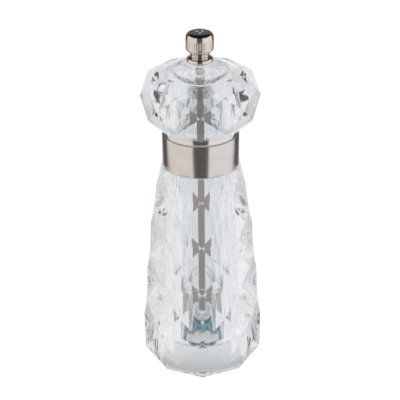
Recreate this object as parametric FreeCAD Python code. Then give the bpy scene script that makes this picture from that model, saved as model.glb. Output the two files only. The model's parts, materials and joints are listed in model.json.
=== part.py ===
import FreeCAD, Part
import math
import os

# Pepper mill, clear faceted body and head, steel collar, ceramic grinder.
# Millimetres, +Z up, origin at the centre of the foot on the table.
# The outside is cut as rings of eight corners. A plain ring has a corner at
# the front (-Y); a turned ring has an edge there, half a step round.

# ---------------------------------------------------------------- driving sizes
SIDES = 8
STEP = 360.0 / SIDES

# height, corner radius and whether the ring is turned, from the foot up
BODY_RINGS = [
    (0.0, 26.5, False),
    (10.7, 32.4, True),
    (24.0, 30.75, False),
    (38.3, 30.7, True),
    (51.5, 28.4, False),
    (64.8, 28.3, True),
    (77.5, 25.9, False),
    (89.3, 25.3, True),
    (100.6, 22.3, False),
    (112.1, 20.6, True),
]
HEAD_RINGS = [
    (132.3, 20.4, False),
    (138.9, 27.0, True),
    (148.2, 29.2, False),
    (156.7, 27.4, True),
    (160.7, 20.6, False),
]
DOME_TOP = 164.6          # flat land that the knob's washer sits on
LAND_RADIUS = 6.6
TOTAL_HEIGHT = 180.0

CHAMBER_RADIUS = 11.2     # peppercorn chamber bored up through the body
RECESS_RADIUS = 19.3      # counterbore in the foot for the grinder
RECESS_HEIGHT = 17.0
NECK_TOP = 129.0          # body spigot inside the collar
COLLAR_RADIUS = 19.0
COLLAR_WALL = 0.9
TRIM_BOTTOM = 129.6       # head's own steel band, above the parting line

SHAFT_WIDTH = 4.8         # square drive rod
SHAFT_CORNER = 3.17       # radius that rounds the rod's four corners
THREAD_RADIUS = 2.45      # M5 thread at both ends of the rod
THREAD_PITCH = 0.8
SHAFT_BOTTOM = 2.8
SHAFT_SQUARE = (6.8, 164.0)
NUT_TOP = 6.0
SHAFT_TOP = 175.4
SHAFT_HOLE = SHAFT_CORNER + 0.4

SLEEVE_RADIUS = 4.2       # plastic sleeve that carries the rotor on the rod
SLEEVE_TOP = 28.6
RUNNING_GAP = 0.06        # radial, between turning fits
HEAD_CAVITY_RADIUS = 12.8
HEAD_CAVITY_TOP = 158.5

FEED_TOP = 47.5           # clear tube that feeds the grinder
FEED_RADIUS = 11.0
FEED_STEP = 43.0          # where the feed tube's bore narrows
THROAT_RADIUS = 9.4       # bore of the feed tube below its step
FLANGE = (16.0, 16.8)     # feed tube's foot flange, between body and housing
HOUSING_RADIUS = 19.1     # cup that holds the stator
HOUSING_BOTTOM = 4.6
STATOR_RADIUS = 13.0
GRIND_WAIST = 11.5        # narrowest height of the stator, where fine grinding starts
STATOR = (6.4, 15.4)
CONE_TOP = 19.8
FEEDER_FLOOR = 20.9       # the spring stands here, in the feeder's pocket
SPRING_TOP = 25.0         # under the thrust washer
RETAINER_BOTTOM = 2.4
SCREW_CIRCLE = 16.2       # three screws that hold the grinder in the foot
SCREWS = 3

PLATE_RADIUS = 8.4        # steel plate that turns the rod
PLATE_THICKNESS = 1.6
PLATE_SCREW_PLACE = 5.7

KNOB_BOTTOM = 165.1
KNOB_TOP = 179.8
KNOB_RADIUS = 6.75
FLUTES = 36
INSERT_RADIUS = 3.6       # brass bush inside the knob
INSERT_TOP = 176.4
INLAY_RADIUS = 4.2
INLAY_TOP = 179.85

Z = FreeCAD.Vector(0, 0, 1)
HERE = FreeCAD.Vector(0, 0, 0)


# ---------------------------------------------------------------- shape helpers
def cylinder(radius, bottom, top):
    return Part.makeCylinder(radius, top - bottom, FreeCAD.Vector(0, 0, bottom))


def tube(inner, outer, bottom, top):
    return cylinder(outer, bottom, top).cut(cylinder(inner, bottom - 1, top + 1))


def square(width, bottom, top):
    corner = FreeCAD.Vector(-width / 2, -width / 2, bottom)
    return Part.makeBox(width, width, top - bottom, corner)


def lathe(outline):
    """Turns a closed outline of (radius, height) points about the mill's axis."""
    points = [FreeCAD.Vector(r, 0, z) for r, z in outline]
    face = Part.Face(Part.makePolygon(points + points[:1]))
    return face.revolve(HERE, Z, 360)


def around(shape, count, start=0.0):
    """Copies a shape evenly round the mill's axis."""
    copies = []
    for index in range(count):
        copy = shape.copy()
        copy.rotate(HERE, Z, start + index * 360.0 / count)
        copies.append(copy)
    return copies


def ring_corners(height, radius, turned):
    first = -90.0 + (STEP / 2 if turned else 0.0)
    corners = []
    for index in range(SIDES):
        angle = math.radians(first + index * STEP)
        corners.append(FreeCAD.Vector(radius * math.cos(angle), radius * math.sin(angle), height))
    return corners


def faceted(rings):
    """Closed solid whose side is a net of triangles between turned rings."""
    corners = [ring_corners(*ring) for ring in rings]
    outlines = [corners[0], corners[-1]]
    for index in range(len(rings) - 1):
        plain, turned = corners[index], corners[index + 1]
        if rings[index][2]:
            plain, turned = turned, plain
        for side in range(SIDES):
            following = (side + 1) % SIDES
            outlines.append([plain[side], plain[following], turned[side]])
            outlines.append([turned[side], turned[following], plain[following]])
    faces = [Part.Face(Part.makePolygon(outline + outline[:1])) for outline in outlines]
    shell = Part.Shell(faces)
    shell.sewShape()
    solid = Part.Solid(shell)
    if solid.Volume < 0:
        solid.reverse()
    return solid


# ---------------------------------------------------------------- clear body
def body_shell():
    """Thick clear body with its neck, chamber and foot recess."""
    neck = cylinder(COLLAR_RADIUS - COLLAR_WALL - 0.05, BODY_RINGS[-1][0] - 1, NECK_TOP)
    body = faceted(BODY_RINGS).fuse(neck)
    body = body.cut(cylinder(CHAMBER_RADIUS, -1, NECK_TOP + 1))
    return body.cut(cylinder(RECESS_RADIUS, -1, RECESS_HEIGHT)).removeSplitter()


def collar_ring():
    """Brushed steel sleeve over the neck, with a small lead-in at both ends."""
    inner = COLLAR_RADIUS - COLLAR_WALL
    bottom = BODY_RINGS[-1][0]
    ease = 0.25
    return lathe([
        (inner, bottom),
        (COLLAR_RADIUS - ease, bottom),
        (COLLAR_RADIUS, bottom + ease),
        (COLLAR_RADIUS, NECK_TOP - ease),
        (COLLAR_RADIUS - ease, NECK_TOP),
        (inner, NECK_TOP),
    ])


# ---------------------------------------------------------------- grinder, fixed
def feed_tube():
    """Clear tube with a stepped mouth, on a wide thin flange."""
    rim_wall = 0.9
    bottom, flange_top = FLANGE
    return lathe([
        (THROAT_RADIUS, bottom),
        (HOUSING_RADIUS, bottom),
        (HOUSING_RADIUS, flange_top),
        (FEED_RADIUS, flange_top),
        (FEED_RADIUS, FEED_TOP),
        (FEED_RADIUS - rim_wall, FEED_TOP),
        (FEED_RADIUS - rim_wall, FEED_STEP),
        (THROAT_RADIUS, FEED_STEP),
    ])


def grinder_housing():
    """White cup that holds the stator, hollow underneath, with a boss for each screw."""
    wall = 1.5
    seat, top = STATOR[1], FLANGE[0]
    outer = lathe([
        (THROAT_RADIUS, seat),
        (STATOR_RADIUS, seat),
        (STATOR_RADIUS, HOUSING_BOTTOM),
        (HOUSING_RADIUS, HOUSING_BOTTOM),
        (HOUSING_RADIUS, top),
        (THROAT_RADIUS, top),
    ])
    hollow = tube(STATOR_RADIUS + wall, HOUSING_RADIUS - wall, HOUSING_BOTTOM - 1, top - wall)
    boss_radius = 2.6
    for post in screw_cylinders(boss_radius, HOUSING_BOTTOM, seat):
        hollow = hollow.cut(post)
    housing = outer.cut(hollow)
    for hole in screw_cylinders(1.25, HOUSING_BOTTOM - 1, seat - 2):
        housing = housing.cut(hole)
    return housing


def guide_spider():
    """Three-armed clear bush that steadies the rotor sleeve inside the feed tube."""
    bottom, top = 25.6, SLEEVE_TOP - 0.4
    bush_radius = 6.4
    arm_width = 1.8
    arm = Part.makeBox(
        THROAT_RADIUS - bush_radius + 1.2, arm_width, top - bottom,
        FreeCAD.Vector(bush_radius - 1.0, -arm_width / 2, bottom),
    )
    spider = cylinder(bush_radius, bottom, top)
    for copy in around(arm, 3, 30):
        spider = spider.fuse(copy)
    spider = spider.common(cylinder(THROAT_RADIUS, bottom, top))
    return spider.cut(cylinder(SLEEVE_RADIUS + RUNNING_GAP, bottom - 1, top + 1)).removeSplitter()


def stator_ring():
    """Fixed ceramic grinding ring, toothed on the inside."""
    bottom, top = STATOR
    ring = lathe([
        (10.9, bottom),
        (STATOR_RADIUS, bottom),
        (STATOR_RADIUS, top),
        (THROAT_RADIUS - 0.1, top),
        (8.7, GRIND_WAIST),
    ])
    teeth = 24
    lean, slant = -20, 12
    groove = Part.makeBox(1.2, 0.9, 6.6, FreeCAD.Vector(-0.6, -0.45, 0))
    groove.rotate(HERE, Z, 45)
    groove.rotate(HERE, FreeCAD.Vector(0, 1, 0), lean)
    groove.rotate(HERE, FreeCAD.Vector(1, 0, 0), slant)
    groove.translate(FreeCAD.Vector(10.9, 0, bottom - 0.4))
    return ring.cut(Part.makeCompound(around(groove, teeth)))


def retaining_ring():
    """Flat plastic ring under the stator, screwed up into the housing."""
    ring = tube(11.0, HOUSING_RADIUS - 0.2, RETAINER_BOTTOM, HOUSING_BOTTOM)
    lip = tube(11.0, STATOR_RADIUS - 0.1, HOUSING_BOTTOM, STATOR[0])
    ring = ring.fuse(lip)
    for hole in screw_cylinders(1.6, 1, HOUSING_BOTTOM + 1):
        ring = ring.cut(hole)
    return ring.removeSplitter()


def screw_cylinders(radius, bottom, top):
    """One upright cylinder at each of the grinder's screw places."""
    post = Part.makeCylinder(radius, top - bottom, FreeCAD.Vector(SCREW_CIRCLE, 0, bottom))
    return around(post, SCREWS, 30)


def pan_screw(head_radius, head_height, shank_radius, length):
    """Screw standing on its head at the origin, shank up, with a cross recess."""
    ease = 0.3
    head = lathe([
        (0, 0),
        (head_radius - ease, 0),
        (head_radius, ease),
        (head_radius, head_height),
        (shank_radius, head_height),
        (shank_radius, head_height + length - shank_radius),
        (0, head_height + length),
    ])
    slot_width, slot_depth = head_radius * 0.28, head_height * 0.55
    for angle in (0, 90):
        slot = Part.makeBox(
            head_radius * 1.3, slot_width, slot_depth + 1,
            FreeCAD.Vector(-head_radius * 0.65, -slot_width / 2, -1),
        )
        slot.rotate(HERE, Z, angle)
        head = head.cut(slot)
    return head


def grinder_screws():
    head_height = 1.2
    screw = pan_screw(2.4, head_height, 1.2, 9.5)
    screw.translate(FreeCAD.Vector(SCREW_CIRCLE, 0, RETAINER_BOTTOM - head_height))
    return Part.makeCompound(around(screw, SCREWS, 30))


# ---------------------------------------------------------------- grinder, turning
def thrust_washer():
    """Turns with the sleeve under the bush and takes the spring's push."""
    return tube(SLEEVE_RADIUS + RUNNING_GAP, 6.2, SPRING_TOP, SPRING_TOP + 0.5)


def rotor_spring():
    """Compression spring between the thrust washer and the feeder's pocket."""
    wire = 0.4
    coil_radius = 5.25
    coils = 3
    flats = 8
    bottom, top = FEEDER_FLOOR + wire, SPRING_TOP - wire
    helix = Part.makeHelix((top - bottom) / coils, top - bottom, coil_radius)
    helix.translate(FreeCAD.Vector(0, 0, bottom))
    section = []
    for index in range(flats):
        angle = math.radians(index * 360.0 / flats)
        across, up = wire * math.cos(angle), wire * math.sin(angle)
        section.append(FreeCAD.Vector(coil_radius + across, 0, bottom + up))
    outline = Part.makePolygon(section + section[:1])
    return Part.Wire(helix.Edges).makePipeShell([outline], True, True)


def rotor_sleeve():
    """White plastic sleeve with a square hole, keyed on the rod."""
    sleeve = cylinder(SLEEVE_RADIUS, SHAFT_SQUARE[0], SLEEVE_TOP)
    return sleeve.cut(square(SHAFT_WIDTH, 0, SLEEVE_TOP + 1))


def feeder():
    """Teal ribbed wheel that draws the corns down into the ceramic."""
    bottom, top = CONE_TOP + 0.1, 23.1
    root, tip = 6.9, 8.4
    ribs = 12
    rib_width = 1.5
    wheel = cylinder(root, bottom, top)
    rib = Part.makeBox(
        tip - root + 1, rib_width, top - bottom,
        FreeCAD.Vector(root - 1, -rib_width / 2, bottom),
    )
    for copy in around(rib, ribs):
        wheel = wheel.fuse(copy)
    wheel = wheel.cut(cylinder(6.0, FEEDER_FLOOR, top + 1))
    return wheel.cut(cylinder(SLEEVE_RADIUS, bottom - 1, top + 1)).removeSplitter()


def rotor_cone():
    """Turning ceramic cone, toothed on the outside, on the sleeve."""
    bottom, shoulder = SHAFT_SQUARE[0], 18.2
    cone = lathe([
        (SLEEVE_RADIUS, bottom),
        (9.9, bottom),
        (7.8, GRIND_WAIST),
        (5.6, shoulder),
        (5.6, CONE_TOP),
        (SLEEVE_RADIUS, CONE_TOP),
    ])
    teeth = 18
    lean, slant = -20.5, -14
    groove = Part.makeBox(1.3, 0.8, 8.0, FreeCAD.Vector(-0.65, -0.4, 0))
    groove.rotate(HERE, FreeCAD.Vector(0, 1, 0), lean)
    groove.rotate(HERE, FreeCAD.Vector(1, 0, 0), slant)
    groove.translate(FreeCAD.Vector(10.0, 0, bottom - 0.5))
    return cone.cut(Part.makeCompound(around(groove, teeth)))


def rotor_washer():
    return tube(THREAD_RADIUS, 5.6, NUT_TOP, SHAFT_SQUARE[0])


def rotor_nut():
    """Lock nut that holds the rotor on the rod's lower thread."""
    across_corners = 8.0 / math.cos(math.radians(30))
    bottom, top = NUT_TOP - 2.8, NUT_TOP
    reach = across_corners / 2
    corners = []
    for index in range(6):
        angle = math.radians(60 * index)
        corners.append(FreeCAD.Vector(reach * math.cos(angle), reach * math.sin(angle), bottom))
    nut = Part.Face(Part.makePolygon(corners + corners[:1])).extrude(FreeCAD.Vector(0, 0, top - bottom))
    chamfer = lathe([(0, bottom), (4.05, bottom), (4.7, bottom + 0.4), (4.7, top), (0, top)])
    return nut.common(chamfer).cut(cylinder(THREAD_RADIUS, bottom - 1, top + 1))


def thread_rings(bottom, top):
    """Outline points of a thread drawn as plain rings, one per pitch."""
    depth = 0.3
    points = []
    height = bottom
    while height + THREAD_PITCH <= top:
        points.append((THREAD_RADIUS, height))
        points.append((THREAD_RADIUS - depth, height + THREAD_PITCH / 2))
        height += THREAD_PITCH
    points.append((THREAD_RADIUS, height))
    return points


def drive_shaft():
    """Square rod from the rotor to the knob, threaded round at both ends."""
    low, high = SHAFT_SQUARE
    ease = 0.5
    rod = square(SHAFT_WIDTH, low, high)
    rod = rod.common(cylinder(SHAFT_CORNER, low, high))
    tail = lathe([
        (0, SHAFT_BOTTOM),
        (THREAD_RADIUS - ease, SHAFT_BOTTOM),
        (THREAD_RADIUS, SHAFT_BOTTOM + ease),
        (THREAD_RADIUS, low),
        (0, low),
    ])
    thread = thread_rings(high, SHAFT_TOP - ease)
    tip = lathe([(0, high)] + thread + [(THREAD_RADIUS - ease, SHAFT_TOP), (0, SHAFT_TOP)])
    return rod.fuse(tail).fuse(tip).removeSplitter()


# ---------------------------------------------------------------- head
def glide_ring():
    """Thin slippery ring that the head turns on."""
    return tube(CHAMBER_RADIUS + 1.0, COLLAR_RADIUS - 0.35, NECK_TOP + 0.05, TRIM_BOTTOM - 0.05)


def head_crown():
    """Thick clear head: cut facets, a smooth dome, and a cavity from below."""
    ring = HEAD_RINGS[-1]
    dome_radius = ring[1] * math.cos(math.radians(STEP / 2)) - 0.4
    rise = DOME_TOP - ring[0]
    run = dome_radius - LAND_RADIUS
    start = FreeCAD.Vector(dome_radius, 0, ring[0])
    end = FreeCAD.Vector(LAND_RADIUS, 0, DOME_TOP)
    bulge = 0.7
    middle = FreeCAD.Vector(
        (dome_radius + LAND_RADIUS) / 2 + bulge * rise / math.hypot(rise, run),
        0,
        ring[0] + rise / 2 + bulge * run / math.hypot(rise, run),
    )
    low = FreeCAD.Vector(0, 0, ring[0] - 1)
    low_edge = FreeCAD.Vector(dome_radius, 0, ring[0] - 1)
    top = FreeCAD.Vector(0, 0, DOME_TOP)
    outline = Part.Wire([
        Part.makeLine(low, low_edge),
        Part.makeLine(low_edge, start),
        Part.Arc(start, middle, end).toShape(),
        Part.makeLine(end, top),
        Part.makeLine(top, low),
    ])
    dome = Part.Face(outline).revolve(HERE, Z, 360)
    crown = faceted(HEAD_RINGS).fuse(dome)
    cavity = cylinder(HEAD_CAVITY_RADIUS, HEAD_RINGS[0][0] - 1, HEAD_CAVITY_TOP)
    roof_edges = [edge for edge in cavity.Edges if edge.BoundBox.ZMin > HEAD_CAVITY_TOP - 0.1]
    crown = crown.cut(cavity.makeFillet(1.8, roof_edges))
    return crown.cut(cylinder(SHAFT_HOLE, HEAD_CAVITY_TOP - 1, DOME_TOP + 1)).removeSplitter()


def head_trim_ring():
    """Polished steel band round the head's seat, above the parting line."""
    ease = 0.25
    inner = COLLAR_RADIUS - COLLAR_WALL
    top = HEAD_RINGS[0][0]
    return lathe([
        (inner, TRIM_BOTTOM),
        (COLLAR_RADIUS - ease, TRIM_BOTTOM),
        (COLLAR_RADIUS, TRIM_BOTTOM + ease),
        (COLLAR_RADIUS, top - ease),
        (COLLAR_RADIUS - ease, top),
        (inner, top),
    ])


def head_plug():
    """Clear stopper: a flange under the head and a spigot in the body's mouth."""
    flange_top = HEAD_RINGS[0][0]
    spigot_bottom, web_bottom = 121.0, 127.0
    spigot_bore = 9.2
    rod_bore = SHAFT_CORNER + 0.55
    plug = lathe([
        (rod_bore, web_bottom),
        (spigot_bore, web_bottom),
        (spigot_bore, spigot_bottom),
        (CHAMBER_RADIUS - 0.35, spigot_bottom),
        (CHAMBER_RADIUS - 0.35, TRIM_BOTTOM),
        (COLLAR_RADIUS - COLLAR_WALL, TRIM_BOTTOM),
        (COLLAR_RADIUS - COLLAR_WALL, flange_top),
        (rod_bore, flange_top),
    ])
    for hole in plate_screw_cylinders(0.95, web_bottom + 0.5, flange_top + 1):
        plug = plug.cut(hole)
    return plug


def plate_screw_cylinders(radius, bottom, top):
    post = Part.makeCylinder(radius, top - bottom, FreeCAD.Vector(PLATE_SCREW_PLACE, 0, bottom))
    return around(post, 2)


def drive_plate():
    """Steel plate whose square hole turns the rod."""
    bottom = HEAD_RINGS[0][0]
    top = bottom + PLATE_THICKNESS
    slack = 0.15
    plate = cylinder(PLATE_RADIUS, bottom, top)
    plate = plate.cut(square(SHAFT_WIDTH + slack, bottom - 1, top + 1))
    for hole in plate_screw_cylinders(1.15, bottom - 1, top + 1):
        plate = plate.cut(hole)
    return plate


def drive_plate_screws():
    head_height = 1.0
    screw = pan_screw(1.9, head_height, 0.95, 5.4)
    screw.rotate(HERE, FreeCAD.Vector(1, 0, 0), 180)
    screw.translate(FreeCAD.Vector(PLATE_SCREW_PLACE, 0, HEAD_RINGS[0][0] + PLATE_THICKNESS + head_height))
    return Part.makeCompound(around(screw, 2))


# ---------------------------------------------------------------- knob
def knob_washer():
    return tube(2.9, 5.9, DOME_TOP, KNOB_BOTTOM)


def knob_shell():
    """Plated knob: flange, waist and a finely fluted barrel, bored for its parts."""
    points = [
        (5.8, KNOB_BOTTOM), (6.4, KNOB_BOTTOM + 0.5), (6.4, 166.7), (5.9, 167.5), (4.9, 168.1),
        (4.4, 168.8), (4.6, 169.5), (5.6, 170.4), (6.4, 171.2), (KNOB_RADIUS, 172.3),
        (KNOB_RADIUS, 175.9), (6.55, 177.4), (5.95, 178.6), (5.1, 179.4), (INLAY_RADIUS + 0.2, KNOB_TOP),
    ]
    knob = lathe([(0, KNOB_BOTTOM)] + points + [(0, KNOB_TOP)])
    flute_radius, flute_depth = 0.35, 0.12
    flute_bottom, flute_length = 171.9, 4.4
    flute = Part.makeCylinder(
        flute_radius, flute_length,
        FreeCAD.Vector(KNOB_RADIUS + flute_radius - flute_depth, 0, flute_bottom),
    )
    knob = knob.cut(Part.makeCompound(around(flute, FLUTES)))
    knob = knob.cut(cylinder(INLAY_RADIUS, KNOB_TOP - 0.8, KNOB_TOP + 1))
    return knob.cut(cylinder(INSERT_RADIUS, KNOB_BOTTOM - 1, INSERT_TOP))


def knob_insert():
    """Brass bush pressed in the knob, tapped for the rod."""
    return tube(THREAD_RADIUS + RUNNING_GAP, INSERT_RADIUS, KNOB_BOTTOM + 0.1, INSERT_TOP)


def knob_inlay():
    """Dark disc set in the knob's top."""
    return cylinder(INLAY_RADIUS, KNOB_TOP - 0.8, INLAY_TOP)


def inlay_mark():
    """Three raised dots that stand for peppercorns."""
    radius, place = 0.75, 1.5
    dot = Part.makeCylinder(radius, TOTAL_HEIGHT - INLAY_TOP, FreeCAD.Vector(place, 0, INLAY_TOP))
    return Part.makeCompound(around(dot, 3, -90))


PARTS = [
    body_shell, collar_ring, feed_tube, grinder_housing, guide_spider, stator_ring,
    retaining_ring, grinder_screws, thrust_washer, rotor_spring, rotor_sleeve, feeder,
    rotor_cone, rotor_washer, rotor_nut, drive_shaft,
    glide_ring, head_crown, head_trim_ring, head_plug, drive_plate, drive_plate_screws,
    knob_washer, knob_shell, knob_insert, knob_inlay, inlay_mark,
]

os.makedirs("parts", exist_ok=True)
for make in PARTS:
    shape = make()
    shape.exportStep(os.path.join("parts", make.__name__ + ".step"))
    print(make.__name__, shape.ShapeType, shape.isValid(), len(shape.Solids), round(shape.Volume, 2))
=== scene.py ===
"""Looks of the clear faceted pepper mill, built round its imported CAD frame. Metres, +Z up."""
import json
import math

import bmesh
import bpy
from mathutils import Matrix, Vector


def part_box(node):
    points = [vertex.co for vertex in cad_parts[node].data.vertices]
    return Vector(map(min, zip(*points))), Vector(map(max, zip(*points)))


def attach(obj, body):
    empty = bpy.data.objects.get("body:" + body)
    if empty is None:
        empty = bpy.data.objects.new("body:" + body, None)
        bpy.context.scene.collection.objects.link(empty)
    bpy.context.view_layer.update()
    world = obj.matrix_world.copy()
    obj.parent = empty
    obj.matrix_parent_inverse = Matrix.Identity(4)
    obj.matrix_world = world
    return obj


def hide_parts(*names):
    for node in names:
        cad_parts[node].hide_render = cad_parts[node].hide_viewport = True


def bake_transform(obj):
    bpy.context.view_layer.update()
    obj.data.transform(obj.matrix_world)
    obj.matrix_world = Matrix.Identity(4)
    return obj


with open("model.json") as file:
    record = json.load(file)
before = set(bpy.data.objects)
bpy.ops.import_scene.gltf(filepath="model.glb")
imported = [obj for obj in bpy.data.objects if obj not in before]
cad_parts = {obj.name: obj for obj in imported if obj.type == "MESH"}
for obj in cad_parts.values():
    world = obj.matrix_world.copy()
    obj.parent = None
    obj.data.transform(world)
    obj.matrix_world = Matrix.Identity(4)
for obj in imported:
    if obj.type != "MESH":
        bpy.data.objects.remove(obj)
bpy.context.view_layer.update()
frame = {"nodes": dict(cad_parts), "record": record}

MM = 0.001
TURN = 2 * math.pi
SLOTS = {part["node"]: part["material_slot"] for part in frame["record"]["subparts"]}
BODIES = {
    node: body
    for body, nodes in frame["record"]["behaviour"]["bodies"].items()
    for node in nodes
}


# ---------------------------------------------------------------- camera
def make_camera():
    """The photograph's view: from the front, looking down on the mill with a long lens."""
    distance = 0.5111
    height = 0.3619
    aside = math.radians(-0.07)
    down = math.radians(27.95)
    roll = math.radians(-0.59)
    focal_length = 103.22
    film_width = 36
    nearest = 0.01
    forward = Vector((
        math.sin(aside) * math.cos(down),
        math.cos(aside) * math.cos(down),
        -math.sin(down),
    ))
    level = Vector((math.cos(aside), -math.sin(aside), 0))
    upright = level.cross(forward)
    right = level * math.cos(roll) + upright * math.sin(roll)
    up = upright * math.cos(roll) - level * math.sin(roll)
    lens = bpy.data.cameras.new("camera")
    lens.sensor_width = film_width
    lens.lens = focal_length
    lens.clip_start = nearest
    camera = bpy.data.objects.new("camera", lens)
    bpy.context.scene.collection.objects.link(camera)
    placed = Matrix((right, up, -forward)).transposed().to_4x4()
    placed.translation = (0, -distance, height)
    camera.matrix_world = placed
    bpy.context.scene.camera = camera


# ---------------------------------------------------------------- materials
class Patterns:
    """A material's nodes, with short ways to build patterns in the piece's own space."""

    def __init__(self, name):
        self.material = bpy.data.materials.new(name)
        self.material.use_nodes = True
        self.tree = self.material.node_tree
        self.place = self.node("TexCoord").outputs["Object"]

    def node(self, kind, **settings):
        made = self.tree.nodes.new("ShaderNode" + kind)
        for name, value in settings.items():
            setattr(made, name, value)
        return made

    def link(self, output, socket):
        self.tree.links.new(output, socket)

    def stretched(self, per_metre):
        """The piece's own coordinates, scaled differently along each axis."""
        scale = self.node("VectorMath", operation="MULTIPLY")
        self.link(self.place, scale.inputs[0])
        scale.inputs[1].default_value = per_metre
        return scale.outputs[0]

    def noise(self, per_metre, detail=3.0, roughness=0.5, distortion=0.0):
        """Clouds around 0.5, with so many lumps per metre along each axis."""
        cloud = self.node("TexNoise")
        self.link(self.stretched(per_metre), cloud.inputs["Vector"])
        cloud.inputs["Scale"].default_value = 1.0
        cloud.inputs["Detail"].default_value = detail
        cloud.inputs["Roughness"].default_value = roughness
        cloud.inputs["Distortion"].default_value = distortion
        return cloud.outputs["Fac"]

    def spread(self, value, low, high, start=0.3, end=0.7, smooth=False):
        """Maps a value from start..end to low..high and stops there."""
        band = self.node("MapRange", clamp=True)
        if smooth:
            band.interpolation_type = "SMOOTHSTEP"
        self.link(value, band.inputs["Value"])
        band.inputs["From Min"].default_value = start
        band.inputs["From Max"].default_value = end
        band.inputs["To Min"].default_value = low
        band.inputs["To Max"].default_value = high
        return band.outputs["Result"]

    def math(self, operation, first, second):
        """One sum of two values, each a number or a node's output."""
        step = self.node("Math", operation=operation)
        for value, socket in zip((first, second), step.inputs):
            if isinstance(value, (int, float)):
                socket.default_value = value
            else:
                self.link(value, socket)
        return step.outputs[0]

    def from_axis(self):
        """Distance from the mill's axis."""
        flat = self.node("VectorMath", operation="MULTIPLY")
        self.link(self.place, flat.inputs[0])
        flat.inputs[1].default_value = (1, 1, 0)
        length = self.node("VectorMath", operation="LENGTH")
        self.link(flat.outputs[0], length.inputs[0])
        return length.outputs["Value"]

    def height(self):
        """Height above the table."""
        parts = self.node("SeparateXYZ")
        self.link(self.place, parts.inputs[0])
        return parts.outputs["Z"]

    def blend(self, value, dark, light):
        """A color between two others."""
        mix = self.node("Mix", data_type="RGBA")
        self.link(value, mix.inputs["Factor"])
        for socket in mix.inputs:
            if socket.type == "RGBA" and socket.name == "A":
                socket.default_value = (*dark, 1)
            if socket.type == "RGBA" and socket.name == "B":
                socket.default_value = (*light, 1)
        return next(out for out in mix.outputs if out.type == "RGBA")


class Finish(Patterns):
    """One Principled material with real surface detail."""

    def __init__(self, name, color, **plain):
        super().__init__(name)
        self.surface = self.tree.nodes["Principled BSDF"]
        self.surface.inputs["Base Color"].default_value = (*color, 1)
        for socket, value in plain.items():
            self.surface.inputs[socket.replace("_", " ")].default_value = value

    def roughness(self, value):
        self.link(value, self.surface.inputs["Roughness"])

    def color(self, value, dark, light):
        self.link(self.blend(value, dark, light), self.surface.inputs["Base Color"])

    def bump(self, value, depth):
        """Raises the surface by value times depth, in metres."""
        bump = self.node("Bump")
        bump.inputs["Strength"].default_value = 1.0
        bump.inputs["Distance"].default_value = depth
        self.link(value, bump.inputs["Height"])
        self.link(bump.outputs["Normal"], self.surface.inputs["Normal"])

    def brushed_round(self):
        """Turns the highlight's stretch so that it runs across marks that go round the axis."""
        tangent = self.node("Tangent", direction_type="RADIAL", axis="Z")
        self.link(tangent.outputs["Tangent"], self.surface.inputs["Tangent"])
        self.surface.inputs["Anisotropic Rotation"].default_value = 0.25


def clear_acrylic():
    """Thick moulded acrylic: bright facets, a slightly wavy bore, scuffs where it stands."""
    finish = Finish("clear_acrylic", (0.88, 0.895, 0.91), IOR=1.49, Transmission_Weight=1.0)
    bore = finish.spread(finish.from_axis(), 1.0, 0.0, 13.2 * MM, 13.8 * MM)
    haze = finish.math("MULTIPLY", bore, finish.spread(finish.noise((90, 90, 60)), 0.005, 0.02))
    foot = finish.spread(finish.height(), 1.0, 0.0, 0.2 * MM, 1.4 * MM, smooth=True)
    scuffs = finish.math("MULTIPLY", foot, finish.spread(finish.noise((900, 900, 900)), 0.02, 0.22))
    finish.roughness(finish.math("ADD", haze, scuffs))
    flow_depth = finish.spread(bore, 0.2, 0.9, 0, 1)
    flow = finish.math("MULTIPLY", finish.noise((150, 150, 30), 0.0), flow_depth)
    in_head = finish.spread(finish.height(), 0.0, 1.0, 131 * MM, 134 * MM)
    head_bore = finish.math("MULTIPLY", bore, in_head)
    ripples = finish.math("MULTIPLY", finish.noise((230, 230, 150), 0.0), head_bore)
    ripple_depth = 12
    depth = finish.math("ADD", flow, finish.math("MULTIPLY", ripples, ripple_depth))
    finish.bump(depth, 0.001 * MM)
    return finish.material


def clear_plastic():
    """Thin clear moulding, a little hazy, with flow lines."""
    finish = Finish("clear_plastic", (0.995, 1.0, 1.0), IOR=1.2, Transmission_Weight=1.0)
    finish.roughness(finish.spread(finish.noise((250, 250, 120)), 0.01, 0.05))
    finish.bump(finish.noise((150, 150, 60), 1.0), 0.006 * MM)
    return finish.material


def brushed_steel():
    """Stainless steel brushed round the axis: fine rings, soft patches, stretched highlights."""
    finish = Finish("brushed_steel", (0.68, 0.665, 0.645), Metallic=1.0, Anisotropic=1.0)
    lines = finish.noise((60, 60, 14000), 4.0, 0.6)
    patches = finish.noise((70, 70, 160), 2.0)
    finish.color(finish.math("MULTIPLY", lines, patches), (0.60, 0.575, 0.56), (0.80, 0.775, 0.76))
    finish.roughness(finish.spread(lines, 0.18, 0.32))
    finish.bump(lines, 0.003 * MM)
    finish.brushed_round()
    return finish.material


def polished_steel():
    """Polished band with faint turning lines and fingerprints."""
    finish = Finish("polished_steel", (0.66, 0.65, 0.64), Metallic=1.0, Anisotropic=0.5)
    smears = finish.noise((320, 320, 500), 4.0, 0.6, 0.6)
    finish.color(smears, (0.60, 0.59, 0.58), (0.72, 0.71, 0.70))
    finish.roughness(finish.spread(smears, 0.07, 0.17))
    finish.bump(finish.noise((80, 80, 9000), 2.0), 0.0015 * MM)
    finish.brushed_round()
    return finish.material


def shaft_steel():
    """Drawn rod: fine marks along its length and a dull, slightly brown tone."""
    finish = Finish("shaft_steel", (0.47, 0.42, 0.385), Metallic=1.0)
    draw = finish.noise((5000, 5000, 60), 3.0)
    finish.color(draw, (0.40, 0.355, 0.325), (0.55, 0.49, 0.45))
    finish.roughness(finish.spread(draw, 0.30, 0.46))
    finish.bump(draw, 0.004 * MM)
    return finish.material


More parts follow.
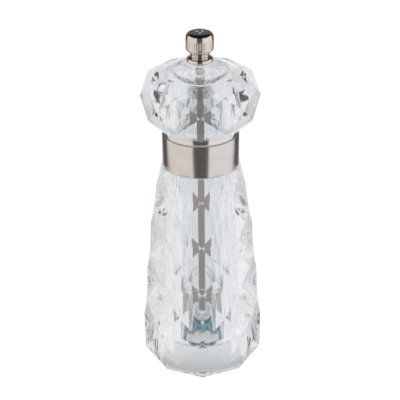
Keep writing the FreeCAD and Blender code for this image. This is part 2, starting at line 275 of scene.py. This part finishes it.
def screw_steel():
    """Zinc-plated steel with a fine grain."""
    finish = Finish("screw_steel", (0.62, 0.62, 0.62), Metallic=1.0)
    grain = finish.noise((2600, 2600, 2600), 3.0)
    finish.color(grain, (0.54, 0.545, 0.55), (0.70, 0.70, 0.69))
    finish.roughness(finish.spread(grain, 0.20, 0.36))
    finish.bump(grain, 0.005 * MM)
    return finish.material


def spring_steel():
    """Hard-drawn wire."""
    finish = Finish("spring_steel", (0.50, 0.50, 0.50), Metallic=1.0)
    grain = finish.noise((1800, 1800, 1800), 2.0)
    finish.color(grain, (0.42, 0.42, 0.43), (0.58, 0.58, 0.57))
    finish.roughness(finish.spread(grain, 0.22, 0.34))
    finish.bump(grain, 0.003 * MM)
    return finish.material


def plated_nickel():
    """Warm bright nickel plate with faint handling marks."""
    finish = Finish("plated_nickel", (0.68, 0.63, 0.58), Metallic=1.0)
    smears = finish.noise((420, 420, 420), 4.0, 0.6, 0.8)
    finish.color(smears, (0.62, 0.575, 0.525), (0.73, 0.68, 0.63))
    finish.roughness(finish.spread(smears, 0.05, 0.13))
    finish.bump(finish.noise((900, 900, 900), 2.0), 0.002 * MM)
    return finish.material


def insert_brass():
    """Turned brass."""
    finish = Finish("insert_brass", (0.78, 0.62, 0.34), Metallic=1.0, Anisotropic=0.5)
    lines = finish.noise((80, 80, 9000), 3.0)
    finish.color(lines, (0.68, 0.52, 0.27), (0.84, 0.68, 0.40))
    finish.roughness(finish.spread(lines, 0.18, 0.32))
    finish.bump(lines, 0.004 * MM)
    finish.brushed_round()
    return finish.material


def grinder_ceramic():
    """Sintered ceramic: matt off-white with a fine gritty skin."""
    finish = Finish("grinder_ceramic", (0.88, 0.87, 0.83))
    grit = finish.noise((3200, 3200, 3200), 4.0)
    clouds = finish.noise((260, 260, 260), 2.0)
    finish.color(clouds, (0.86, 0.855, 0.835), (0.95, 0.945, 0.925))
    finish.roughness(finish.spread(grit, 0.38, 0.62))
    finish.bump(grit, 0.012 * MM)
    return finish.material


def white_plastic():
    """White moulded plastic with a faint spark-eroded texture."""
    finish = Finish("white_plastic", (0.92, 0.92, 0.915))
    texture = finish.noise((2400, 2400, 2400), 2.0)
    clouds = finish.noise((120, 120, 120), 2.0)
    finish.color(clouds, (0.90, 0.905, 0.90), (0.95, 0.95, 0.945))
    finish.roughness(finish.spread(texture, 0.30, 0.48))
    finish.bump(texture, 0.006 * MM)
    return finish.material


def teal_plastic():
    """Teal moulded plastic, glossy, lighter where the flow was thin."""
    finish = Finish("teal_plastic", (0.18, 0.38, 0.47), Coat_Weight=0.3, Coat_Roughness=0.08)
    flow = finish.noise((420, 420, 420), 3.0, 0.5, 0.5)
    finish.color(flow, (0.10, 0.26, 0.34), (0.32, 0.58, 0.68))
    finish.roughness(finish.spread(flow, 0.16, 0.30))
    finish.bump(finish.noise((1500, 1500, 1500), 2.0), 0.006 * MM)
    return finish.material


def black_inlay():
    """Black enamel disc under a clear gloss."""
    finish = Finish("black_inlay", (0.045, 0.045, 0.055), Coat_Weight=0.6, Coat_Roughness=0.05)
    peel = finish.noise((1300, 1300, 1300), 2.0)
    finish.color(finish.noise((500, 500, 500), 3.0), (0.030, 0.030, 0.040), (0.075, 0.075, 0.090))
    finish.roughness(finish.spread(peel, 0.16, 0.30))
    finish.bump(peel, 0.003 * MM)
    return finish.material


def mark_silver():
    """Pale raised print."""
    finish = Finish("mark_silver", (0.50, 0.50, 0.53), Metallic=0.4)
    grain = finish.noise((4000, 4000, 4000), 3.0)
    finish.color(grain, (0.40, 0.40, 0.43), (0.60, 0.60, 0.63))
    finish.roughness(finish.spread(grain, 0.30, 0.50))
    finish.bump(grain, 0.003 * MM)
    return finish.material


MATERIALS = {
    make.__name__: make()
    for make in (
        clear_acrylic, clear_plastic, brushed_steel, polished_steel, shaft_steel, screw_steel,
        spring_steel, plated_nickel, insert_brass, grinder_ceramic, white_plastic, teal_plastic,
        black_inlay, mark_silver,
    )
}


# ---------------------------------------------------------------- mesh helpers
def add_piece(name, mesh, body, slot, *replaced):
    """Puts a finished mesh in the scene as a piece of the mill, riding on body if it has just one."""
    mesh.materials.clear()
    mesh.materials.append(MATERIALS[slot])
    piece = bpy.data.objects.new(name, mesh)
    bpy.context.scene.collection.objects.link(piece)
    if body:
        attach(piece, body)
    if replaced:
        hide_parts(*replaced)
    return piece


SAME_POINT = 0.0005 * MM      # points closer than this are one
HAIR = 0.02 * MM              # air left between pieces that rest on each other
FLAT = math.radians(0.4)      # faces that meet at less than this are one flat
CREASE = math.radians(28)     # on CAD shapes, edges sharper than this keep a hard line
CORNER = math.radians(50)     # the same on the shapes made here


def joined_copy(node):
    """A CAD node's surface as one connected mesh, with its flat regions whole again."""
    source = frame["nodes"][node].data
    shape = bmesh.new()
    shape.from_mesh(source)
    bmesh.ops.remove_doubles(shape, verts=shape.verts, dist=SAME_POINT)
    bmesh.ops.dissolve_degenerate(shape, edges=shape.edges, dist=SAME_POINT)
    bmesh.ops.dissolve_limit(
        shape, angle_limit=FLAT, verts=shape.verts, edges=shape.edges,
        use_dissolve_boundaries=False,
    )
    return shape


def plain_mesh(name, shape):
    """A mesh with only points and faces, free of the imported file's normals."""
    shape.verts.index_update()
    points = [vertex.co.copy() for vertex in shape.verts]
    faces = [[vertex.index for vertex in face.verts] for face in shape.faces]
    smooth = [face.smooth for face in shape.faces]
    shape.free()
    mesh = bpy.data.meshes.new(name)
    mesh.from_pydata(points, [], faces)
    mesh.polygons.foreach_set("use_smooth", smooth)
    mesh.update()
    return mesh


def ease_edges(shape, edges, width):
    """Rounds edges, as tumbling, moulding or polishing leaves them."""
    bmesh.ops.bevel(
        shape, geom=edges, offset=width, offset_type="OFFSET", segments=2, profile=0.5,
        affect="EDGES", clamp_overlap=True,
    )


def eased(node, width):
    """Stands for a CAD node: the same shape with its sharp edges rounded."""
    shape = joined_copy(node)
    sharpest = math.radians(35)
    sharp = [
        edge for edge in shape.edges
        if len(edge.link_faces) == 2 and edge.calc_face_angle(0.0) > sharpest
    ]
    ease_edges(shape, sharp, width)
    shape.normal_update()
    for vertex in shape.verts:
        vertex.co -= vertex.normal * HAIR
    for face in shape.faces:
        face.smooth = True
    mesh = plain_mesh(node + "_eased", shape)
    mesh.set_sharp_from_angle(angle=CREASE)
    return add_piece(node + "_eased", mesh, BODIES[node], SLOTS[node], node)


def draw_in(ring):
    """Makes the pale ring under the head a little smaller, so that only a thin dark joint shows."""
    drawn_in = 0.5 * MM
    outer_wall = 15 * MM
    for vertex in ring.data.vertices:
        reach = math.hypot(vertex.co.x, vertex.co.y)
        if reach > outer_wall:
            vertex.co.x *= (reach - drawn_in) / reach
            vertex.co.y *= (reach - drawn_in) / reach


def round_out(shape, radius):
    """Splits the flats of a turned wall finer and brings the new points out to its true radius."""
    close = 0.06 * MM
    level = 0.001 * MM
    cuts = 4

    def on_wall(vertex):
        return abs(math.hypot(vertex.co.x, vertex.co.y) - radius) < close

    ring = [
        edge for edge in shape.edges
        if on_wall(edge.verts[0]) and on_wall(edge.verts[1])
        and abs(edge.verts[0].co.z - edge.verts[1].co.z) < level
    ]
    bmesh.ops.subdivide_edges(shape, edges=ring, cuts=cuts, use_grid_fill=True)
    for vertex in shape.verts:
        if on_wall(vertex):
            grow = radius / math.hypot(vertex.co.x, vertex.co.y)
            vertex.co.x *= grow
            vertex.co.y *= grow


def polished(node, edge_width, walls):
    """Stands for a clear CAD node: crisp flat facets, edges just rounded, smooth turned walls."""
    shape = joined_copy(node)
    for radius in walls:
        round_out(shape, radius)
    facet_radius = 19.5 * MM
    slightest = math.radians(2)

    def outside(vertex):
        return math.hypot(vertex.co.x, vertex.co.y) > facet_radius

    facet_edges = [
        edge for edge in shape.edges
        if len(edge.link_faces) == 2
        and edge.calc_face_angle(0.0) > slightest
        and outside(edge.verts[0]) and outside(edge.verts[1])
    ]
    ease_edges(shape, facet_edges, edge_width)
    for face in shape.faces:
        face.smooth = not all(outside(vertex) for vertex in face.verts)
    mesh = plain_mesh(node + "_polished", shape)
    mesh.set_sharp_from_angle(angle=CREASE)
    return add_piece(node + "_polished", mesh, BODIES[node], SLOTS[node], node)


def lets_light_in(piece):
    """The lamps reach what stands inside a clear piece."""
    piece.visible_shadow = False


# ---------------------------------------------------------------- pieces
def lathe_grid(name, rows, around, radius_at):
    """A skin of rings round the axis, through rows of (radius, height).

    radius_at(row, angle) gives the real radius, so that it can flute a row."""
    points = []
    faces = []
    for row, (_, height) in enumerate(rows):
        for step in range(around):
            angle = TURN * step / around
            real = radius_at(row, angle)
            points.append((real * math.cos(angle), real * math.sin(angle), height))
    for row in range(len(rows) - 1):
        for step in range(around):
            after = (step + 1) % around
            low, high = row * around, (row + 1) * around
            faces.append((low + step, low + after, high + after, high + step))
    faces.append(list(range(around))[::-1])
    last = (len(rows) - 1) * around
    faces.append([last + step for step in range(around)])
    mesh = bpy.data.meshes.new(name)
    mesh.from_pydata(points, [], faces)
    mesh.polygons.foreach_set("use_smooth", [True] * len(faces))
    mesh.update()
    return mesh


def rounded(points):
    """Rounds an outline's corners: each point is (radius, height, rounding)."""
    per_corner = 8
    done = []
    for index, (r, z, rounding) in enumerate(points):
        here = Vector((r, z))
        if rounding == 0:
            done.append(here)
            continue
        before = Vector(points[index - 1][:2]) - here
        after = Vector(points[index + 1][:2]) - here
        start = here + before.normalized() * rounding
        end = here + after.normalized() * rounding
        for step in range(per_corner + 1):
            t = step / per_corner
            done.append(start * (1 - t) ** 2 + here * 2 * t * (1 - t) + end * t ** 2)
    return [(p.x, p.y) for p in done]


def knob():
    """Nickel-plated knob: flange, cove, fluted barrel with a round shoulder, seat for the disc."""
    low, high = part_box("knob_shell")
    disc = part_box("knob_inlay")[1].x
    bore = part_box("knob_insert")[1].x
    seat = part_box("knob_inlay")[0].z
    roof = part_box("knob_insert")[1].z
    reach = high.x
    flange = 0.95 * reach
    waist = 0.645 * reach
    outline = [
        (bore, roof, 0),
        (bore, low.z, 0),
        (flange, low.z, 0.7 * MM),
        (flange, low.z + 2.2 * MM, 0.7 * MM),
        (waist, low.z + 3.4 * MM, 0.7 * MM),
        (waist, low.z + 4.1 * MM, 0.6 * MM),
        (reach, low.z + 6.2 * MM, 1.2 * MM),
        (reach, high.z, 2.5 * MM),
        (disc + 0.05 * MM, high.z, 0.12 * MM),
        (disc + 0.05 * MM, seat, 0),
    ]
    rows = rounded(outline)
    flutes = 48
    depth = 0.09 * MM
    start, end = low.z + 6.9 * MM, high.z - 2.9 * MM
    fade = 0.6 * MM
    barrel = 0.9 * reach
    row_gap = 0.35 * MM
    dense = []
    for (r0, z0), (r1, z1) in zip(rows, rows[1:]):
        parts = 1
        if min(r0, r1) > barrel:
            parts = max(1, round(abs(z1 - z0) / row_gap))
        for k in range(parts):
            dense.append((r0 + (r1 - r0) * k / parts, z0 + (z1 - z0) * k / parts))
    dense.append(rows[-1])

    def radius_at(row, angle):
        radius, height = dense[row]
        if radius < barrel:
            return radius
        inside = min(height - start, end - height) / fade
        amount = depth * min(max(inside, 0.0), 1.0)
        return radius - amount * abs(math.sin(flutes * angle / 2)) ** 6

    points_per_flute = 8
    mesh = lathe_grid("knob_plated", dense, flutes * points_per_flute, radius_at)
    mesh.set_sharp_from_angle(angle=CORNER)
    return add_piece("knob_plated", mesh, "knob", "plated_nickel", "knob_shell")


def inlay():
    """Enamel disc, a little domed, with an eased rim."""
    low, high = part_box("knob_inlay")
    radius = high.x
    crown = 0.12 * MM
    rim = 0.05 * MM
    rows = [(radius, low.z), (radius, high.z - crown - rim)]
    rings = 8
    around = 96
    for ring in range(rings):
        share = 1 - ring / rings
        rows.append((radius * share, high.z - crown * share ** 2))
    mesh = lathe_grid("enamel_disc", rows, around, lambda row, angle: rows[row][0])
    mesh.set_sharp_from_angle(angle=CORNER)
    return add_piece("enamel_disc", mesh, "knob", "black_inlay", "knob_inlay")


def peppercorn_dots():
    """Three raised dots on the disc, round-topped."""
    low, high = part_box("inlay_mark")
    dot = 0.75 * MM
    place = 1.5 * MM
    sunk = 0.1 * MM
    bottom = low.z - sunk
    shape = bmesh.new()
    rings, around = 5, 28
    for index in range(3):
        turn = TURN * index / 3 - TURN / 4
        centre = Vector((place * math.cos(turn), place * math.sin(turn), 0))
        loops = []
        for ring in range(rings):
            up = ring / rings * TURN / 4
            radius = dot * math.cos(up)
            height = bottom + (high.z - bottom) * math.sin(up)
            loops.append([
                shape.verts.new((
                    centre.x + radius * math.cos(TURN * step / around),
                    centre.y + radius * math.sin(TURN * step / around),
                    height,
                ))
                for step in range(around)
            ])
        top = shape.verts.new((centre.x, centre.y, high.z))
        for first, second in zip(loops, loops[1:]):
            for step in range(around):
                after = (step + 1) % around
                shape.faces.new((first[step], first[after], second[after], second[step]))
        for step in range(around):
            shape.faces.new((loops[-1][step], loops[-1][(step + 1) % around], top))
        shape.faces.new(loops[0][::-1])
    for face in shape.faces:
        face.smooth = len(face.verts) < around
    mesh = plain_mesh("peppercorn_dots", shape)
    mesh.set_sharp_from_angle(angle=CORNER)
    return add_piece("peppercorn_dots", mesh, "knob", "mark_silver", "inlay_mark")


def spring():
    """Compression spring of round wire with closed ends, from the rotor up to the washer."""
    low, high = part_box("rotor_spring")
    wire = 0.38 * MM
    lead = 0.9 * wire
    coil = high.x - 0.4 * MM
    bottom, top = low.z + wire, high.z - wire
    turns = 4.5
    closed = 0.16
    steps = 300
    around = 12
    points = []
    for step in range(steps + 1):
        t = step / steps
        travel = min(max((t - closed) / (1 - 2 * closed), 0.0), 1.0)
        first_turn = lead * (min(t / closed, 1.0) - 1.0)
        last_turn = lead * max((t - 1 + closed) / closed, 0.0)
        height = bottom + lead + (top - bottom - 2 * lead) * travel + first_turn + last_turn
        angle = TURN * turns * t
        points.append(Vector((coil * math.cos(angle), coil * math.sin(angle), height)))
    shape = bmesh.new()
    rings = []
    for point in points:
        outward = Vector((point.x, point.y, 0)).normalized()
        rings.append([
            shape.verts.new(
                point
                + outward * wire * math.cos(TURN * k / around)
                + Vector((0, 0, 1)) * wire * math.sin(TURN * k / around)
            )
            for k in range(around)
        ])
    for first, second in zip(rings, rings[1:]):
        for k in range(around):
            after = (k + 1) % around
            shape.faces.new((first[k], first[after], second[after], second[k]))
    shape.faces.new(rings[0][::-1])
    shape.faces.new(rings[-1])
    bmesh.ops.recalc_face_normals(shape, faces=shape.faces)
    for face in shape.faces:
        face.smooth = len(face.verts) == 4
    mesh = plain_mesh("spring_wire", shape)
    piece = add_piece("spring_wire", mesh, None, "spring_steel", "rotor_spring")
    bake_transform(piece)
    return piece


# ---------------------------------------------------------------- studio
def stage_mesh(name, mesh, material):
    """Puts a mesh in the scene as part of the studio."""
    mesh.materials.append(material)
    made = bpy.data.objects.new(name, mesh)
    bpy.context.scene.collection.objects.link(made)
    return made


def disc_mesh(name, radius, height):
    """A flat round sheet."""
    around = 96
    mesh = bpy.data.meshes.new(name)
    points = [
        (radius * math.cos(TURN * k / around), radius * math.sin(TURN * k / around), height)
        for k in range(around)
    ]
    mesh.from_pydata(points, [], [list(range(around))])
    return mesh


MIDDLE = (0, 0, 0.09)     # half way up the mill
BALL_ROUNDNESS = 5        # times an icosahedron is split for the studio's balls


def hide_from(made, *rays):
    """Makes a thing invisible to some kinds of rays."""
    for kind in rays:
        setattr(made, "visible_" + kind, False)


def floor():
    """White table, bright enough to burn out to the backdrop's white."""
    paint = Finish("table_white", (0.25, 0.25, 0.255), Roughness=0.7)
    paint.surface.inputs["Emission Color"].default_value = (1.0, 1.0, 1.0, 1)
    paint.surface.inputs["Emission Strength"].default_value = 0.75
    made = stage_mesh("floor", disc_mesh("floor", 4.0, -0.02 * MM), paint.material)
    hide_from(made, "glossy", "transmission")


def surroundings():
    """Even soft light from all round."""
    world = bpy.data.worlds.new("studio")
    world.use_nodes = True
    world.node_tree.nodes["Background"].inputs["Color"].default_value = (0.98, 0.99, 1.0, 1)
    world.node_tree.nodes["Background"].inputs["Strength"].default_value = 0.9
    bpy.context.scene.world = world


def backdrop():
    """White wall all round, seen by the camera alone, so that no horizon shows from any side."""
    paint = Finish("wall_white", (0.0, 0.0, 0.0), Roughness=1.0)
    paint.surface.inputs["Specular IOR Level"].default_value = 0.0
    paint.surface.inputs["Emission Color"].default_value = (1.0, 1.0, 1.0, 1)
    paint.surface.inputs["Emission Strength"].default_value = 1.05
    shape = bmesh.new()
    bmesh.ops.create_icosphere(shape, subdivisions=BALL_ROUNDNESS, radius=3.9)
    wall = stage_mesh("backdrop", plain_mesh("backdrop", shape), paint.material)
    hide_from(wall, "diffuse", "glossy", "transmission", "shadow", "volume_scatter")


class Tent(Patterns):
    """A big glowing ball round the mill.

    Azimuth runs from 0 in front of the mill to 180 behind it, both ways. All angles are in degrees."""

    def __init__(self, name, radius):
        super().__init__(name)
        self.tree.nodes.remove(self.tree.nodes["Principled BSDF"])
        parts = self.node("SeparateXYZ")
        self.link(self.place, parts.inputs[0])
        across = self.math("ABSOLUTE", parts.outputs["X"], 0.0)
        self.side = self.math("DIVIDE", parts.outputs["X"], self.from_axis())
        degrees = 180 / math.pi
        ahead = self.math("MULTIPLY", parts.outputs["Y"], -1.0)
        self.azimuth = self.math("MULTIPLY", self.math("ARCTAN2", across, ahead), degrees)
        rise = self.math("ARCTAN2", parts.outputs["Z"], self.from_axis())
        self.elevation = self.math("MULTIPLY", rise, degrees)
        shape = bmesh.new()
        bmesh.ops.create_icosphere(shape, subdivisions=BALL_ROUNDNESS, radius=radius)
        self.ball = stage_mesh(name, plain_mesh(name, shape), self.material)
        self.ball.location = MIDDLE
        hide_from(self.ball, "camera", "diffuse", "shadow", "volume_scatter")

    def window(self, value, start, end, soft):
        """1 between start and end, fading to 0 outside."""
        return self.math(
            "MULTIPLY",
            self.spread(value, 0.0, 1.0, start - soft, start + soft, smooth=True),
            self.spread(value, 1.0, 0.0, end - soft, end + soft, smooth=True),
        )

    def glow(self, light, color):
        """Makes the ball shine with this strength and color."""
        emission = self.node("Emission")
        self.link(light, emission.inputs["Strength"])
        self.link(color, emission.inputs["Color"])
        self.link(emission.outputs[0], self.tree.nodes["Material Output"].inputs["Surface"])


def reflection_tent():
    """What the shiny surfaces mirror: a soft box at each side, gaps in front and behind, dark above."""
    tent = Tent("reflection_tent", 3.0)
    box_start, box_end = 23, 114
    box_glow, dimmest, darkness_above = 0.93, 0.14, 0.04
    boxes = tent.window(tent.azimuth, box_start, box_end, 3)
    behind = tent.math(
        "MULTIPLY",
        tent.spread(tent.azimuth, 0.0, 0.8, 148, 158, smooth=True),
        tent.spread(tent.elevation, 1.0, 0.0, 8, 16, smooth=True),
    )
    walls = tent.math("MULTIPLY", tent.math("ADD", boxes, behind), box_glow)
    walls = tent.math("ADD", walls, dimmest)
    below = tent.spread(tent.elevation, 1.0, darkness_above, 32, 40, smooth=True)
    light = tent.math("MULTIPLY", walls, below)
    from_left = tent.spread(tent.side, 0.0, 1.0, -0.35, 0.35, smooth=True)
    tent.glow(light, tent.blend(from_left, (0.95, 0.89, 0.845), (1.0, 0.985, 0.98)))
    hide_from(tent.ball, "transmission")


def gap_behind(tent):
    """Dark part of the room behind the mill, on both sides of the wall that is lit."""
    depth = 0.97
    aside = tent.window(tent.azimuth, 140, 174, 1.5)
    gap = tent.math("MULTIPLY", aside, tent.window(tent.elevation, -28, 5, 2))
    return tent.math("MULTIPLY", gap, depth)


def gap_in_front(tent):
    """Dark part of the room round the camera."""
    depth = 0.9
    aside = tent.spread(tent.azimuth, 1.0, 0.0, 63, 69, smooth=True)
    gap = tent.math("MULTIPLY", aside, tent.window(tent.elevation, 4, 28, 2))
    return tent.math("MULTIPLY", gap, depth)


def see_through_tent():
    """What the clear pieces show: white wall and table, a little uneven, with broken dark gaps."""
    tent = Tent("see_through_tent", 3.4)
    brightness = 0.88
    unevenness = 0.16
    clouds = tent.noise((2.2, 2.2, 2.2), 2.0)
    uneven = tent.spread(clouds, 1.0 - unevenness, 1.0 + unevenness)
    gaps = tent.math("ADD", gap_behind(tent), gap_in_front(tent))
    broken = tent.spread(tent.noise((5.0, 5.0, 1.6), 0.0), 0.0, 1.0, 0.45, 0.52)
    gaps = tent.math("MULTIPLY", gaps, broken)
    light = tent.math("MULTIPLY", uneven, tent.math("SUBTRACT", 1.0, gaps))
    color = tent.blend(gaps, (0.985, 0.99, 1.0), (0.80, 0.88, 1.0))
    tent.glow(tent.math("MULTIPLY", light, brightness), color)
    hide_from(tent.ball, "glossy")


def lamp(name, place, color):
    """Square soft box aimed at the mill's middle."""
    size = 0.8
    power = 8
    light = bpy.data.lights.new(name, "AREA")
    light.shape = "SQUARE"
    light.size = size
    light.energy = power
    light.color = color
    made = bpy.data.objects.new(name, light)
    bpy.context.scene.collection.objects.link(made)
    aim = Vector(MIDDLE) - Vector(place)
    made.matrix_world = Matrix.Translation(place) @ aim.to_track_quat("-Z", "Y").to_matrix().to_4x4()
    hide_from(made, "camera", "glossy", "transmission")


# ---------------------------------------------------------------- build
make_camera()

for node, piece in frame["nodes"].items():
    for place in piece.material_slots:
        place.material = MATERIALS[SLOTS[node]]

FACET_EDGE = 0.16 * MM
lets_light_in(polished("body_shell", FACET_EDGE, (11.2 * MM, 19.3 * MM)))
lets_light_in(polished("head_crown", FACET_EDGE, (12.8 * MM,)))
for clear in ("feed_tube", "guide_spider", "head_plug"):
    lets_light_in(eased(clear, 0.12 * MM))
EASED = {
    "collar_ring": 0.12, "head_trim_ring": 0.12, "glide_ring": 0.1, "grinder_housing": 0.25,
    "retaining_ring": 0.2, "stator_ring": 0.1, "rotor_cone": 0.1, "feeder": 0.2,
    "rotor_sleeve": 0.15, "rotor_washer": 0.1, "rotor_nut": 0.1, "thrust_washer": 0.1,
    "grinder_screws": 0.1, "drive_plate": 0.15, "drive_plate_screws": 0.1, "drive_shaft": 0.15,
    "knob_washer": 0.1, "knob_insert": 0.1,
}
solid_pieces = {node: eased(node, width * MM) for node, width in EASED.items()}
draw_in(solid_pieces["glide_ring"])
knob()
inlay()
peppercorn_dots()
spring()

floor()
backdrop()
surroundings()
reflection_tent()
see_through_tent()
lamp("soft_box_left", (-0.9, -0.5, 0.9), (1.0, 0.975, 0.95))
lamp("soft_box_right", (0.9, -0.5, 0.9), (0.98, 0.99, 1.0))

scene = bpy.context.scene
scene.view_settings.view_transform = "Standard"
INSIDE_BOUNCES = 48       # light crosses many clear walls
scene.cycles.max_bounces = INSIDE_BOUNCES
scene.cycles.transmission_bounces = INSIDE_BOUNCES
scene.cycles.glossy_bounces = INSIDE_BOUNCES
scene.cycles.diffuse_bounces = 6
